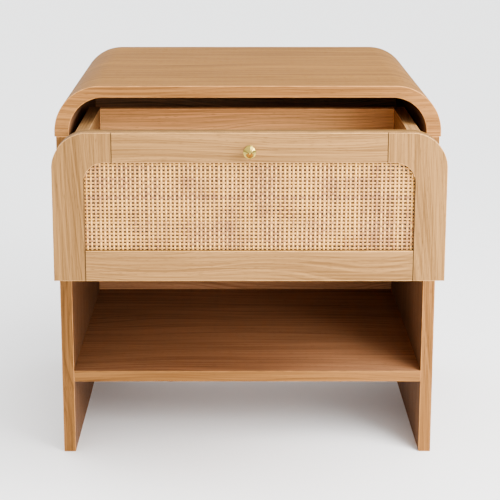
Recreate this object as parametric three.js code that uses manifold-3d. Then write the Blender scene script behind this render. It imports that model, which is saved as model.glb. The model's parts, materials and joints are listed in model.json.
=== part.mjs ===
// A bedside cabinet: a bent top shell on two side panels, an open shelf bay, and one drawer on
// telescopic slides with a framed cane front. Millimetres, +Z up, +Y towards the back. It stands on
// z = 0, is symmetric about x = 0, and is drawn with its drawer part way out.

import * as THREE from "three";
import { mergeVertices } from "three/addons/utils/BufferGeometryUtils.js";
import Module from "manifold-3d";

// --- driving dimensions ---

const WIDTH = 500;
const DEPTH = 400;
const HEIGHT = 500;
const BOARD = 16; // side panels, divider and drawer box boards
const PULLED_OUT = 227; // how far the drawer stands open as drawn
const FIT_GAP = 0.3; // clearance round a fastener or a loose tongue

// The shell: one board that bends down at both ends.
const SHELL_TOP = 15;
const SHELL_LEG = 19;
const SHELL_OUTER_RADIUS = 60;
const SHELL_INNER_RADIUS = 45;
const SHELL_END_Z = 434; // where its legs meet the side panels
const ARC_STEPS = 16;

// Carcass.
const SIDE_SETBACK = 2; // side panels stand in from the shell's outer faces
const SHELF_THICKNESS = 15;
const SHELF_Z = 100;
const DIVIDER_Z = 286;
const BACK_THICKNESS = 9;
const BACK_INSET = 6; // from the back edges of the sides
const TONGUE = { thickness: 6, depth: 10, inset: 30 }; // between each shell leg and its side

// Drawer front: a face frame and a cane sheet on a core board.
const REVEAL = 4; // even gap round the front when it is shut
const FACE_THICKNESS = 6;
const CORE_THICKNESS = 16;
const FRONT_RADIUS = 42;
const STILE_WIDTH = 37;
const STILE_HEAD = 69; // the stile's wider top, which holds the opening's round corner
const TOP_RAIL = 35;
const BOTTOM_RAIL = 36;
const OPENING_RADIUS = 23;
const CANE_THICKNESS = 2.5;

// Drawer box.
const BOX_HALF_WIDTH = 218.5;
const BOX_Z = 312;
const BOX_TOP_Z = 448;
const BOX_END_Y = 376; // back of the shut box, behind the carcass's front plane
const BOTTOM = { thickness: 6, z: 322, groove: 6 };

// Slides: three nested channels on each side.
const SLIDE_LENGTH = 350;
const SLIDE_START_Y = 25;
const SLIDE_Z = 372;
const SLIDE_METAL = 1.2;
const SCREW_INSET = 40; // from the ends of a slide member to its screws

// Fasteners.
const KNOB = { radius: 7.5, reach: 23, z: 461, base: 6, neck: 3.4, rim: 14.5 };
const CAM = { radius: 7.2, height: 11.5, setback: 34, pocket: 12.5, cross: [4, 0.8, 1.5] };
const CAM_BOLT = { length: 46, thread: 11, radius: 2.5, head: 3.4, bore: 3.8 };
const DOWEL = { radius: 4, length: 30, inSide: 10 };
const ROUND_STEPS = 16;
const FASTENER_STEPS = 10;

// --- worked out from them ---

const SIDE_OUTER = WIDTH / 2 - SIDE_SETBACK;
const SIDE_INNER = SIDE_OUTER - BOARD;
const SHELL_INNER = WIDTH / 2 - SHELL_LEG;
const SHELL_UNDERSIDE = HEIGHT - SHELL_TOP;
const SHELF_TOP = SHELF_Z + SHELF_THICKNESS;
const DIVIDER_TOP = DIVIDER_Z + BOARD;
const BACK_Y = DEPTH - BACK_INSET - BACK_THICKNESS;
const FRONT_HALF = SHELL_INNER - REVEAL;
const FRONT_TOP = SHELL_UNDERSIDE - REVEAL;
const FRONT_Z = DIVIDER_TOP + REVEAL;
const FRONT_THICKNESS = FACE_THICKNESS + CORE_THICKNESS;
const OPENING_HALF = FRONT_HALF - STILE_WIDTH;
const OPENING_TOP = FRONT_TOP - TOP_RAIL;
const OPENING_Z = FRONT_Z + BOTTOM_RAIL;
const HEAD_HALF = FRONT_HALF - STILE_HEAD;
const BOX_INNER = BOX_HALF_WIDTH - BOARD;
const CARCASS_FRONT_Y = (PULLED_OUT + KNOB.reach - DEPTH) / 2; // centres the open part on y = 0

// --- colours ---

const OAK = { color: 0xc69c70, roughness: 0.62, metalness: 0 };
const OAK_PALE = { color: 0xcba883, roughness: 0.64, metalness: 0 };
const OAK_BOX = { color: 0xb8854f, roughness: 0.66, metalness: 0 };
const CANE = { color: 0xe6c79f, roughness: 0.72, metalness: 0 };
const BEECH = { color: 0xd9b98a, roughness: 0.75, metalness: 0 };
const BRASS = { color: 0xcbb069, roughness: 0.24, metalness: 1 };
const STEEL = { color: 0xa8abad, roughness: 0.38, metalness: 1 };
const ZINC = { color: 0x8f9294, roughness: 0.48, metalness: 1 };

// --- shaping ---

const wasm = await Module();
wasm.setup();

/** A manifold-3d solid of a closed three.js geometry. */
function solidOf(geometry) {
  const bare = geometry.clone();
  bare.deleteAttribute("normal");
  bare.deleteAttribute("uv");
  const merged = mergeVertices(bare, 1e-4);
  return new wasm.Manifold(new wasm.Mesh({
    numProp: 3,
    vertProperties: new Float32Array(merged.attributes.position.array),
    triVerts: new Uint32Array(merged.index.array),
  }));
}

/** The geometry of a closed solid less each of the cutters. */
function cut(geometry, cutters) {
  const rest = cutters.reduce((left, cutter) => left.subtract(solidOf(cutter)), solidOf(geometry));
  const mesh = rest.getMesh();
  const result = new THREE.BufferGeometry();
  result.setAttribute("position", new THREE.BufferAttribute(mesh.vertProperties, 3));
  result.setIndex(new THREE.BufferAttribute(mesh.triVerts, 1));
  result.computeVertexNormals();
  return result;
}

/** A box between two corners. */
function block([x0, x1], [y0, y1], [z0, z1]) {
  const box = new THREE.BoxGeometry(x1 - x0, y1 - y0, z1 - z0);
  return box.translate((x0 + x1) / 2, (y0 + y1) / 2, (z0 + z1) / 2);
}

/** An outline in x and z carried from y0 to y1. */
function slab(shape, y0, y1) {
  const geometry = new THREE.ExtrudeGeometry(shape, {
    depth: y1 - y0, bevelEnabled: false, curveSegments: ARC_STEPS,
  });
  return geometry.rotateX(Math.PI / 2).translate(0, y1, 0);
}

/** A profile of [radius, distance] points turned about an axis that leaves `at` along `along`. */
function turned(profile, at, along, steps = ROUND_STEPS) {
  const points = profile.map(([radius, distance]) => new THREE.Vector2(radius, distance));
  const turn = new THREE.Quaternion().setFromUnitVectors(
    new THREE.Vector3(0, 1, 0), new THREE.Vector3(...along),
  );
  return new THREE.LatheGeometry(points, steps).applyQuaternion(turn).translate(...at);
}

/** A plain rod, for dowels and for drilling. */
function rod(radius, length, at, along, steps = ROUND_STEPS) {
  return turned([[0, 0], [radius, 0], [radius, length], [0, length]], at, along, steps);
}

/** A panhead screw whose head sits on `at` and whose shank runs along `along`. */
function screw(radius, length, headRadius, headHeight, at, along) {
  return turned([
    [0, -headHeight], [headRadius * 0.7, -headHeight], [headRadius, -headHeight / 2],
    [headRadius, 0], [radius, 0], [radius, length - radius], [0, length],
  ], at, along, FASTENER_STEPS);
}

/** The drill for a screw, a little wider and deeper than its shank. */
function screwHole(radius, length, at, along) {
  const start = at.map((value, i) => value - along[i]);
  return rod(radius + FIT_GAP, length + 1 + FIT_GAP, start, along, FASTENER_STEPS);
}

/** The outline of a panel with square lower corners and round upper ones. */
function archOutline(half, low, high, radius) {
  const shape = new THREE.Shape();
  shape.moveTo(-half, low);
  shape.lineTo(half, low);
  shape.absarc(half - radius, high - radius, radius, 0, Math.PI / 2);
  shape.absarc(radius - half, high - radius, radius, Math.PI / 2, Math.PI);
  return shape;
}

const cabinet = new THREE.Group();
cabinet.name = "nightstand";

/** Adds one named piece to a group. */
function add(group, name, look, geometry) {
  const mesh = new THREE.Mesh(geometry, new THREE.MeshStandardMaterial(look));
  mesh.name = name;
  group.add(mesh);
}

/** A group that rides at a distance behind the cabinet's own front plane. */
function groupAt(y) {
  const group = new THREE.Group();
  group.position.y = y;
  cabinet.add(group);
  return group;
}

const carcass = groupAt(CARCASS_FRONT_Y);
const middles = groupAt(CARCASS_FRONT_Y - PULLED_OUT / 2);
const drawer = groupAt(CARCASS_FRONT_Y - PULLED_OUT);

const SIDES = [["left", -1], ["right", 1]];

/** The span between two distances from the centre plane, on one side of it. */
function span(side, inner, outer) {
  return side > 0 ? [inner, outer] : [-outer, -inner];
}

// --- carcass boards ---

const fixedBoards = [
  { name: "lower_shelf", z: SHELF_Z, thickness: SHELF_THICKNESS, depth: DEPTH },
  { name: "divider_panel", z: DIVIDER_Z, thickness: BOARD, depth: BACK_Y },
];

/** Where the fittings of a fixed board lie: two cams with a dowel between them at each end. */
function fittingPlaces({ z, thickness, depth }) {
  const middleZ = z + thickness / 2;
  return { middleZ, cams: [["front", 50], ["back", depth - 50]], dowelY: depth / 2 };
}

/** The drilling that a fixed board's fittings make in one side panel. */
function sideDrilling(side, board) {
  const { middleZ, cams, dowelY } = fittingPlaces(board);
  const outwards = [side, 0, 0];
  const start = side * (SIDE_INNER - 1);
  const boltDepth = 1 + CAM_BOLT.thread + FIT_GAP;
  const bolts = cams.map(([, y]) => rod(
    CAM_BOLT.radius + FIT_GAP, boltDepth, [start, y, middleZ], outwards, FASTENER_STEPS,
  ));
  const dowelHole = rod(
    DOWEL.radius + FIT_GAP, 1 + DOWEL.inSide + FIT_GAP, [start, dowelY, middleZ], outwards,
  );
  return [...bolts, dowelHole];
}

/** The drilling that its own fittings make in a fixed board, at one end of it. */
function boardDrilling(side, board) {
  const { middleZ, cams, dowelY } = fittingPlaces(board);
  const inwards = [-side, 0, 0];
  const end = side * (SIDE_INNER + 1);
  const camX = side * (SIDE_INNER - CAM.setback);
  const pockets = cams.flatMap(([, y]) => [
    rod(CAM_BOLT.bore, 1 + CAM.setback, [end, y, middleZ], inwards, FASTENER_STEPS),
    rod(CAM.radius + FIT_GAP, 1 + CAM.pocket, [camX, y, board.z - 1], [0, 0, 1]),
  ]);
  const inBoard = DOWEL.length - DOWEL.inSide;
  const dowelHole = rod(
    DOWEL.radius + FIT_GAP, 1 + inBoard + FIT_GAP, [end, dowelY, middleZ], inwards,
  );
  return [...pockets, dowelHole];
}

/** A cam disc: slotted from above for the bolt's head, with a driver cross underneath. */
function camDisc(side, x, y, z, middleZ) {
  const reach = CAM.radius + 1;
  const headSlot = CAM_BOLT.bore;
  const [arm, half, deep] = CAM.cross;
  const disc = rod(CAM.radius, CAM.height, [x, y, z], [0, 0, 1]);
  const slotX = side > 0 ? [x - headSlot / 2, x + reach] : [x - reach, x + headSlot / 2];
  return cut(disc, [
    block(slotX, [y - headSlot, y + headSlot], [middleZ - headSlot, z + CAM.height + 1]),
    block([x - arm, x + arm], [y - half, y + half], [z - 1, z + deep]),
    block([x - half, x + half], [y - arm, y + arm], [z - 1, z + deep]),
  ]);
}

/** The cams, bolts and dowels of one fixed board. */
function addFittings(board) {
  const { middleZ, cams, dowelY } = fittingPlaces(board);
  const word = board.name.split("_")[0];
  for (const [sideName, side] of SIDES) {
    const boltX = side * (SIDE_INNER + CAM_BOLT.thread);
    const camX = side * (SIDE_INNER - CAM.setback);
    for (const [place, y] of cams) {
      const { length, thread, radius, head } = CAM_BOLT;
      const profile = [
        [0, 0], [radius, 0], [radius, thread], [head, thread + FIT_GAP], [head, thread + 2],
        [radius, thread + 2], [radius, length - 4], [head, length - 4], [head, length], [0, length],
      ];
      const bolt = turned(profile, [boltX, y, middleZ], [-side, 0, 0], FASTENER_STEPS);
      add(carcass, `${word}_cam_bolt_${sideName}_${place}`, ZINC, bolt);
      add(carcass, `${word}_cam_${sideName}_${place}`, ZINC,
        camDisc(side, camX, y, board.z + FIT_GAP, middleZ));
    }
    const dowelX = side * (SIDE_INNER + DOWEL.inSide);
    const dowel = rod(DOWEL.radius, DOWEL.length, [dowelX, dowelY, middleZ], [-side, 0, 0]);
    add(carcass, `${word}_dowel_${sideName}`, BEECH, dowel);
  }
}

/** The tongue between a shell leg and its side panel, grown by `gap` where it cuts its slot. */
function tongue(side, gap = 0) {
  const middle = (SIDE_INNER + SIDE_OUTER) / 2;
  const half = TONGUE.thickness / 2 + gap;
  const reach = TONGUE.depth + gap;
  return block(
    span(side, middle - half, middle + half),
    [TONGUE.inset - gap, DEPTH - TONGUE.inset + gap],
    [SHELL_END_Z - reach, SHELL_END_Z + reach],
  );
}

function topShell() {
  const half = WIDTH / 2;
  const outer = SHELL_OUTER_RADIUS;
  const inner = SHELL_INNER_RADIUS;
  const shape = new THREE.Shape();
  shape.moveTo(half, SHELL_END_Z);
  shape.absarc(half - outer, HEIGHT - outer, outer, 0, Math.PI / 2);
  shape.absarc(outer - half, HEIGHT - outer, outer, Math.PI / 2, Math.PI);
  shape.lineTo(-half, SHELL_END_Z);
  shape.lineTo(-SHELL_INNER, SHELL_END_Z);
  shape.absarc(inner - SHELL_INNER, SHELL_UNDERSIDE - inner, inner, Math.PI, Math.PI / 2, true);
  shape.absarc(SHELL_INNER - inner, SHELL_UNDERSIDE - inner, inner, Math.PI / 2, 0, true);
  shape.lineTo(SHELL_INNER, SHELL_END_Z);
  return cut(slab(shape, 0, DEPTH), SIDES.map(([, side]) => tongue(side, FIT_GAP)));
}

const SLIDE_SCREW = { radius: 1.75, length: 12, head: 3.2, headHeight: 1.6 };
const slideScrewYs = [["front", SLIDE_START_Y + SCREW_INSET],
  ["back", SLIDE_START_Y + SLIDE_LENGTH - SCREW_INSET]];

/** A slide screw's seat: its head lies on a channel's web at x. */
function slideScrewAt(x, y) {
  return [x, y, SLIDE_Z];
}

function sidePanel(side) {
  const board = block(span(side, SIDE_INNER, SIDE_OUTER), [0, DEPTH], [0, SHELL_END_Z]);
  const seat = side * (SIDE_INNER - SLIDE_METAL);
  const screws = slideScrewYs.map(([, y]) => screwHole(
    SLIDE_SCREW.radius, SLIDE_SCREW.length, slideScrewAt(seat, y), [side, 0, 0],
  ));
  const fittings = fixedBoards.flatMap((each) => sideDrilling(side, each));
  return cut(board, [tongue(side, FIT_GAP), ...fittings, ...screws]);
}

const BACK_SCREW = { radius: 1.75, length: 24, head: 3.5, headHeight: 2 };
const backScrews = [["left", -150], ["centre", 0], ["right", 150]].map(([name, x]) => ({
  name, at: [x, BACK_Y + BACK_THICKNESS, DIVIDER_Z + BOARD / 2],
}));
const backScrewHoles = backScrews.map(({ at }) => screwHole(
  BACK_SCREW.radius, BACK_SCREW.length, at, [0, -1, 0],
));

/** The back: between the side panels below, and just inside the bent shell above. */
function backPanel() {
  const half = SHELL_INNER - FIT_GAP;
  const corner = SHELL_INNER_RADIUS - FIT_GAP;
  const cornerZ = SHELL_UNDERSIDE - SHELL_INNER_RADIUS;
  const shape = new THREE.Shape();
  shape.moveTo(-SIDE_INNER, SHELF_TOP);
  shape.lineTo(SIDE_INNER, SHELF_TOP);
  shape.lineTo(SIDE_INNER, SHELL_END_Z - FIT_GAP);
  shape.lineTo(half, SHELL_END_Z - FIT_GAP);
  shape.absarc(half - corner, cornerZ, corner, 0, Math.PI / 2);
  shape.absarc(corner - half, cornerZ, corner, Math.PI / 2, Math.PI);
  shape.lineTo(-half, SHELL_END_Z - FIT_GAP);
  shape.lineTo(-SIDE_INNER, SHELL_END_Z - FIT_GAP);
  return cut(slab(shape, BACK_Y, BACK_Y + BACK_THICKNESS), backScrewHoles);
}

add(carcass, "top_shell", OAK, topShell());
for (const [name, side] of SIDES) {
  add(carcass, `side_panel_${name}`, OAK, sidePanel(side));
  add(carcass, `shell_tongue_${name}`, BEECH, tongue(side));
}
for (const board of fixedBoards) {
  const { name, z, thickness, depth } = board;
  const plank = block([-SIDE_INNER, SIDE_INNER], [0, depth], [z, z + thickness]);
  const drilling = SIDES.flatMap(([, side]) => boardDrilling(side, board));
  const forBack = name === "divider_panel" ? backScrewHoles : [];
  add(carcass, name, OAK, cut(plank, [...drilling, ...forBack]));
  addFittings(board);
}
add(carcass, "back_panel", OAK_BOX, backPanel());
for (const { name, at } of backScrews) {
  const { radius, length, head, headHeight } = BACK_SCREW;
  add(carcass, `back_screw_${name}`, ZINC, screw(radius, length, head, headHeight, at, [0, -1, 0]));
}

// --- slides ---

// Each channel: where its web lies, how far its flanges reach, its half height, and on which side
// of the web they stand (1 is away from the drawer).
const CHANNELS = {
  cabinet: { web: SIDE_INNER - SLIDE_METAL, reach: 10, half: 22.5, towards: -1 },
  middle: { web: SIDE_INNER - 4.8, reach: 6.9, half: 19, towards: -1 },
  drawer: { web: BOX_HALF_WIDTH, reach: 7, half: 15.5, towards: 1 },
};

/** One rolled channel, drawn at the place that it has when the drawer is shut. */
function channel(side, { web, reach, half, towards }, screwYs = []) {
  const low = towards > 0 ? web : web + SLIDE_METAL - reach;
  const hollow = half - SLIDE_METAL;
  const ends = [SLIDE_START_Y, SLIDE_START_Y + SLIDE_LENGTH];
  const hollowX = towards > 0 ? [web + SLIDE_METAL, low + reach + 1] : [low - 1, web];
  const hollowZ = [SLIDE_Z - hollow, SLIDE_Z + hollow];
  const body = block(span(side, low, low + reach), ends, [SLIDE_Z - half, SLIDE_Z + half]);
  const screwHoles = screwYs.map(([, y]) => screwHole(
    SLIDE_SCREW.radius, SLIDE_METAL, slideScrewAt(side * web, y), [side, 0, 0],
  ));
  return cut(body, [
    block(span(side, ...hollowX), [ends[0] - 1, ends[1] + 1], hollowZ), ...screwHoles,
  ]);
}

/** The two screws that hold a channel, with their heads inside it. */
function addSlideScrews(group, name, side, seat, towards) {
  const { radius, length, head, headHeight } = SLIDE_SCREW;
  for (const [place, y] of slideScrewYs) {
    const at = slideScrewAt(side * seat, y);
    const geometry = screw(radius, length, head, headHeight, at, [side * towards, 0, 0]);
    add(group, `${name}_${place}`, ZINC, geometry);
  }
}

const drawerSeat = BOX_HALF_WIDTH + SLIDE_METAL;

for (const [name, side] of SIDES) {
  add(carcass, `slide_cabinet_member_${name}`, STEEL, channel(side, CHANNELS.cabinet, slideScrewYs));
  addSlideScrews(carcass, `slide_cabinet_screw_${name}`, side, SIDE_INNER - SLIDE_METAL, 1);
  add(middles, `slide_middle_member_${name}`, STEEL, channel(side, CHANNELS.middle));
  add(drawer, `slide_drawer_member_${name}`, STEEL, channel(side, CHANNELS.drawer, slideScrewYs));
  addSlideScrews(drawer, `slide_drawer_screw_${name}`, side, drawerSeat, -1);
}

// --- drawer box ---

/** The bottom panel, which sits in grooves in all four walls; `gap` widens it to cut them. */
function bottomPanel(gap = 0) {
  const { thickness, z, groove } = BOTTOM;
  const inset = groove + gap;
  return block(
    [-BOX_INNER - inset, BOX_INNER + inset],
    [FRONT_THICKNESS + BOARD - inset, BOX_END_Y - BOARD + inset],
    [z - gap, z + thickness + gap],
  );
}

const boxHeight = [BOX_Z, BOX_TOP_Z];
const acrossBox = [-BOX_INNER, BOX_INNER];

const FRONT_SCREW = { radius: 2, length: 28, head: 4, headHeight: 2.5 };
const frontScrews = SIDES.map(([name, side]) => ({
  name, at: [side * 150, FRONT_THICKNESS + BOARD, 400],
}));
const frontScrewHoles = frontScrews.map(({ at }) => screwHole(
  FRONT_SCREW.radius, FRONT_SCREW.length, at, [0, -1, 0],
));

for (const [name, side] of SIDES) {
  const wall = block(span(side, BOX_INNER, BOX_HALF_WIDTH), [FRONT_THICKNESS, BOX_END_Y], boxHeight);
  const screws = slideScrewYs.map(([, y]) => screwHole(
    SLIDE_SCREW.radius, SLIDE_SCREW.length, slideScrewAt(side * drawerSeat, y), [-side, 0, 0],
  ));
  add(drawer, `drawer_side_${name}`, OAK_BOX, cut(wall, [bottomPanel(FIT_GAP), ...screws]));
}
const backWall = block(acrossBox, [BOX_END_Y - BOARD, BOX_END_Y], boxHeight);
add(drawer, "drawer_back", OAK_BOX, cut(backWall, [bottomPanel(FIT_GAP)]));
const frontWall = block(acrossBox, [FRONT_THICKNESS, FRONT_THICKNESS + BOARD], boxHeight);
add(drawer, "drawer_box_front", OAK_BOX, cut(frontWall, [bottomPanel(FIT_GAP), ...frontScrewHoles]));
add(drawer, "drawer_bottom", OAK_BOX, bottomPanel());

// --- drawer front ---

/** A stile: straight below, and above it widens round the opening's corner and the outer one. */
function stile(side) {
  const shape = new THREE.Shape();
  const round = OPENING_RADIUS;
  shape.moveTo(OPENING_HALF, FRONT_Z);
  shape.lineTo(FRONT_HALF, FRONT_Z);
  shape.absarc(FRONT_HALF - FRONT_RADIUS, FRONT_TOP - FRONT_RADIUS, FRONT_RADIUS, 0, Math.PI / 2);
  shape.lineTo(HEAD_HALF, FRONT_TOP);
  shape.lineTo(HEAD_HALF, OPENING_TOP);
  shape.absarc(OPENING_HALF - round, OPENING_TOP - round, round, Math.PI / 2, 0, true);
  const geometry = slab(shape, 0, FACE_THICKNESS);
  // The left one is the right one turned about the vertical through the middle of the board.
  return side > 0 ? geometry
    : geometry.rotateZ(Math.PI).translate(0, FACE_THICKNESS, 0);
}

const KNOB_SCREW = { radius: 2, length: 32, head: 4, headHeight: 2.5 };
const knobScrewSeat = [0, FRONT_THICKNESS, KNOB.z];
const knobScrewHole = screwHole(KNOB_SCREW.radius, KNOB_SCREW.length, knobScrewSeat, [0, -1, 0]);

/** The turned knob: a base flange, a waist, a round rim and a shallow cone in front of it. */
function knob() {
  const { radius, reach, z, base, neck, rim } = KNOB;
  const boreEnd = KNOB_SCREW.length - FRONT_THICKNESS + 1;
  const boreRadius = KNOB_SCREW.radius + FIT_GAP;
  const profile = [
    [0, boreEnd], [boreRadius, boreEnd], [boreRadius, 0], // the bore for its screw
    [base, 0], [base, 1.2], [neck + 0.8, 2.6], [neck, 5], [neck + 0.5, 8.5], // flange and waist
    [radius - 1.6, rim - 2.6], [radius - 0.3, rim - 1], [radius, rim], [radius - 0.6, rim + 1],
    [1.2, reach - 0.7], [0.6, reach - 0.2], [0, reach], // the cone and its blunt tip
  ];
  return turned(profile, [0, 0, z], [0, -1, 0], 20);
}

const coreOutline = archOutline(FRONT_HALF, FRONT_Z, FRONT_TOP, FRONT_RADIUS);
const core = slab(coreOutline, FACE_THICKNESS, FRONT_THICKNESS);
add(drawer, "front_core_board", OAK_PALE, cut(core, [...frontScrewHoles, knobScrewHole]));
for (const [name, side] of SIDES) add(drawer, `front_stile_${name}`, OAK_PALE, stile(side));
const topRail = block([-HEAD_HALF, HEAD_HALF], [0, FACE_THICKNESS], [OPENING_TOP, FRONT_TOP]);
add(drawer, "front_top_rail", OAK_PALE, cut(topRail, [knobScrewHole]));
add(drawer, "front_bottom_rail", OAK_PALE,
  block([-OPENING_HALF, OPENING_HALF], [0, FACE_THICKNESS], [FRONT_Z, OPENING_Z]));
const caneOutline = archOutline(
  OPENING_HALF - FIT_GAP, OPENING_Z + FIT_GAP, OPENING_TOP - FIT_GAP, OPENING_RADIUS - FIT_GAP,
);
add(drawer, "cane_panel", CANE, slab(caneOutline, FACE_THICKNESS - CANE_THICKNESS, FACE_THICKNESS));

for (const { name, at } of frontScrews) {
  const { radius, length, head, headHeight } = FRONT_SCREW;
  add(drawer, `front_screw_${name}`, ZINC, screw(radius, length, head, headHeight, at, [0, -1, 0]));
}
add(drawer, "drawer_knob", BRASS, knob());
add(drawer, "knob_screw", ZINC, screw(
  KNOB_SCREW.radius, KNOB_SCREW.length, KNOB_SCREW.head, KNOB_SCREW.headHeight,
  knobScrewSeat, [0, -1, 0],
));

export default cabinet;
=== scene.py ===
"""An oak bedside cabinet with a cane-fronted drawer: its finished pieces around the fixed frame."""

import json
import math

import bmesh
import bpy
import numpy as np
from bpy.props import (
    FloatProperty, FloatVectorProperty, IntProperty, PointerProperty,
)
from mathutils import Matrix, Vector

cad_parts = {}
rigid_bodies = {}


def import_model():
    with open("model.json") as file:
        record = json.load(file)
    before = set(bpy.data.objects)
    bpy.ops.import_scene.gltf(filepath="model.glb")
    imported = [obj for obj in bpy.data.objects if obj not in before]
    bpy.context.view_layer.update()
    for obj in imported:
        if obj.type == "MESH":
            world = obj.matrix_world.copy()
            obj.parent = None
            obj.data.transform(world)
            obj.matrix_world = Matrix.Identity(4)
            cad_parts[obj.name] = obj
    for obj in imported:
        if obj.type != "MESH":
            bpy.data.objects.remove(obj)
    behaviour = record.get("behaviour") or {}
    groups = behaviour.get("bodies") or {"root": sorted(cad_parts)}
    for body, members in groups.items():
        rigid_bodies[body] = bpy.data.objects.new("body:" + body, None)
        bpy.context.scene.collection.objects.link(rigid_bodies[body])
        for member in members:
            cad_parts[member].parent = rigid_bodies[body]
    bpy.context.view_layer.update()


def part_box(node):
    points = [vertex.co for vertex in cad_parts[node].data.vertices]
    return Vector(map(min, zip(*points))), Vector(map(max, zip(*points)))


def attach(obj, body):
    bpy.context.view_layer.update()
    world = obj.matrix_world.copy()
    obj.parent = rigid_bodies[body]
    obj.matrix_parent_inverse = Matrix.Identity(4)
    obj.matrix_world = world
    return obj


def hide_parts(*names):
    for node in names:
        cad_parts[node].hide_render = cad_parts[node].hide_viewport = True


bl_info = {
    "name": "Cane Nightstand",
    "version": (1, 0, 0),
    "blender": (4, 5, 0),
    "location": "3D View > Sidebar > Nightstand",
    "description": "Finishes an oak nightstand: veneered boards, a woven cane front and its metalwork",
    "category": "Object",
}

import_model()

MM = 0.001
SIDES = (("left", -1), ("right", 1))
ENDS = ("front", "back")
UV_NAME = "grain"
# The attribute holds each board's tone with its painted light and shade, and each strand's age.
TONE_AND_PAINTED_LIGHT_NAME = "tone"
X, Y, Z = 0, 1, 2

CASE_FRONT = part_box("side_panel_left")[0].y


# ---------------------------------------------------------------- sizes and colours

def size(name, default, description, low=0.0, high=1.0):
    """A length in metres that the sidebar shows."""
    return FloatProperty(name=name, default=default, description=description,
                         min=low, max=high, subtype="DISTANCE", unit="LENGTH", precision=5)


def colour(name, default, description):
    return FloatVectorProperty(name=name, default=default, description=description,
                               size=3, min=0.0, max=1.0, subtype="COLOR")


def strength(name, default, description, high=50.0):
    return FloatProperty(name=name, default=default, description=description, min=0.0, max=high)


class NightstandWood(bpy.types.PropertyGroup):
    """Veneers and the easing of the boards' edges."""

    ease: size("Eased edge", 0.7 * MM, "Width of the sanded edge of each board", high=0.003)
    joint: size("Frame joint", 0.55 * MM, "Width of the small chamfer at the frame's joints")
    case: colour("Case", (0.205, 0.090, 0.015), "Veneer of the bent shell and the sides")
    # The bands are a lighter copy of the case veneer, for the stronger light on the front faces:
    # painted light.
    band: colour("Bands", (0.268, 0.117, 0.032), "Banded front edges of the case")
    shelf: colour("Shelf", (0.340, 0.155, 0.068), "Veneer of the shelf and the divider")
    front: colour("Front", (0.270, 0.136, 0.043), "Veneer of the drawer front")
    box: colour("Box", (0.400, 0.208, 0.074), "Wood of the drawer box and the back")
    # The core board's face is darkened to stand for the weave's shadow on it: painted shade.
    backing: colour("Backing", (0.100, 0.066, 0.040), "Face of the core board behind the cane")
    # A darker copy of the front veneer for every face of the drawer front's pieces that looks upwards:
    # painted shade on the top faces.
    edge: colour("Upper edges", (0.135, 0.064, 0.012), "Banded upper edge of the drawer front")
    # A copy of the case veneer for faces that look down or inwards, coloured for how they look in the
    # shade of the cavity: painted shade.
    inner: colour("Inside", (0.220, 0.102, 0.046), "Inner faces of the shell and the sides")


class NightstandCane(bpy.types.PropertyGroup):
    """The woven sheet in the drawer front."""

    pitch_across: size("Pitch across", 5.06 * MM, "From one upright strand to the next", high=0.02)
    pitch_up: size("Pitch up", 4.3 * MM, "From one cross strand to the next", high=0.02)
    width: size("Strand width", 2.5 * MM, "Width of an upright strand", high=0.01)
    thickness: size("Strand thickness", 0.8 * MM, "Thickness of a strand", high=0.003)
    odd_row: IntProperty(name="Reddish row", default=14, description="Cross strand of a redder"
                         " cane, counted from below", min=0)
    seed: IntProperty(name="Seed", default=7, description="Picks the strands' variation", min=0)
    pale: colour("Pale", (0.755, 0.372, 0.078), "Palest upright strands")
    yellow: colour("Yellow", (0.625, 0.285, 0.034), "Palest cross strands")
    tan: colour("Tan", (0.310, 0.120, 0.031), "Darkest strands")


class NightstandMetal(bpy.types.PropertyGroup):
    """The knob, the slides and the fasteners."""

    brass: colour("Brass", (0.430, 0.310, 0.058), "The knob")
    steel: colour("Steel", (0.300, 0.307, 0.315), "The drawer slides")
    zinc: colour("Zinc", (0.260, 0.265, 0.270), "Screws, bolts and cams")


class NightstandStage(bpy.types.PropertyGroup):
    """Floor, light and camera."""

    floor: colour("Floor", (0.920, 0.920, 0.918), "The studio floor")
    key: strength("Key light", 2.4, "Strength of the high main light")
    fill: strength("Fill light", 2.0, "Strength of the low light from the front")
    back: strength("Back light", 1.6, "Strength of the light from behind, at the left")
    side: strength("Side light", 68.0, "Power of the softbox at the right", high=500.0)
    sky: strength("Sky", 1.6, "Strength of the light from all round", high=10.0)
    lens: FloatProperty(name="Lens", default=107.6, description="Focal length",
                        min=20.0, max=300.0, subtype="DISTANCE_CAMERA", unit="CAMERA")
    distance: size("Camera distance", 1.899, "From the camera to the case's front plane", high=10.0)
    height: size("Camera height", 0.791, "Above the floor", high=5.0)


# ---------------------------------------------------------------- node trees in expressions

class Value:
    """One output of a node. Python's operators on it add Math nodes."""

    def __init__(self, tree, socket):
        self.tree = tree
        self.socket = socket

    def __getitem__(self, name):
        """Another output of the same node."""
        return Value(self.tree, self.socket.node.outputs[name])

    def math(self, operation, *others):
        return self.tree.node("ShaderNodeMath", {"operation": operation}, self, *others)

    def __add__(self, other):
        return self.math("ADD", other)

    def __radd__(self, other):
        return self.math("ADD", other)

    def __sub__(self, other):
        return self.math("SUBTRACT", other)

    def __rsub__(self, other):
        return self.tree.node("ShaderNodeMath", {"operation": "SUBTRACT"}, other, self)

    def __mul__(self, other):
        return self.math("MULTIPLY", other)

    def __truediv__(self, other):
        return self.math("DIVIDE", other)

    def __rtruediv__(self, other):
        return self.tree.node("ShaderNodeMath", {"operation": "DIVIDE"}, other, self)

    def __pow__(self, other):
        return self.math("POWER", other)

    def __abs__(self):
        return self.math("ABSOLUTE")

    def at_least(self, other):
        return self.math("MAXIMUM", other)

    def between(self, low, high):
        """0 up to low, 1 from high, and a smooth step from one to the other."""
        return self.tree.node(
            "ShaderNodeMapRange", {"interpolation_type": "SMOOTHSTEP"},
            self, **{"From Min": low, "From Max": high},
        )


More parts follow.
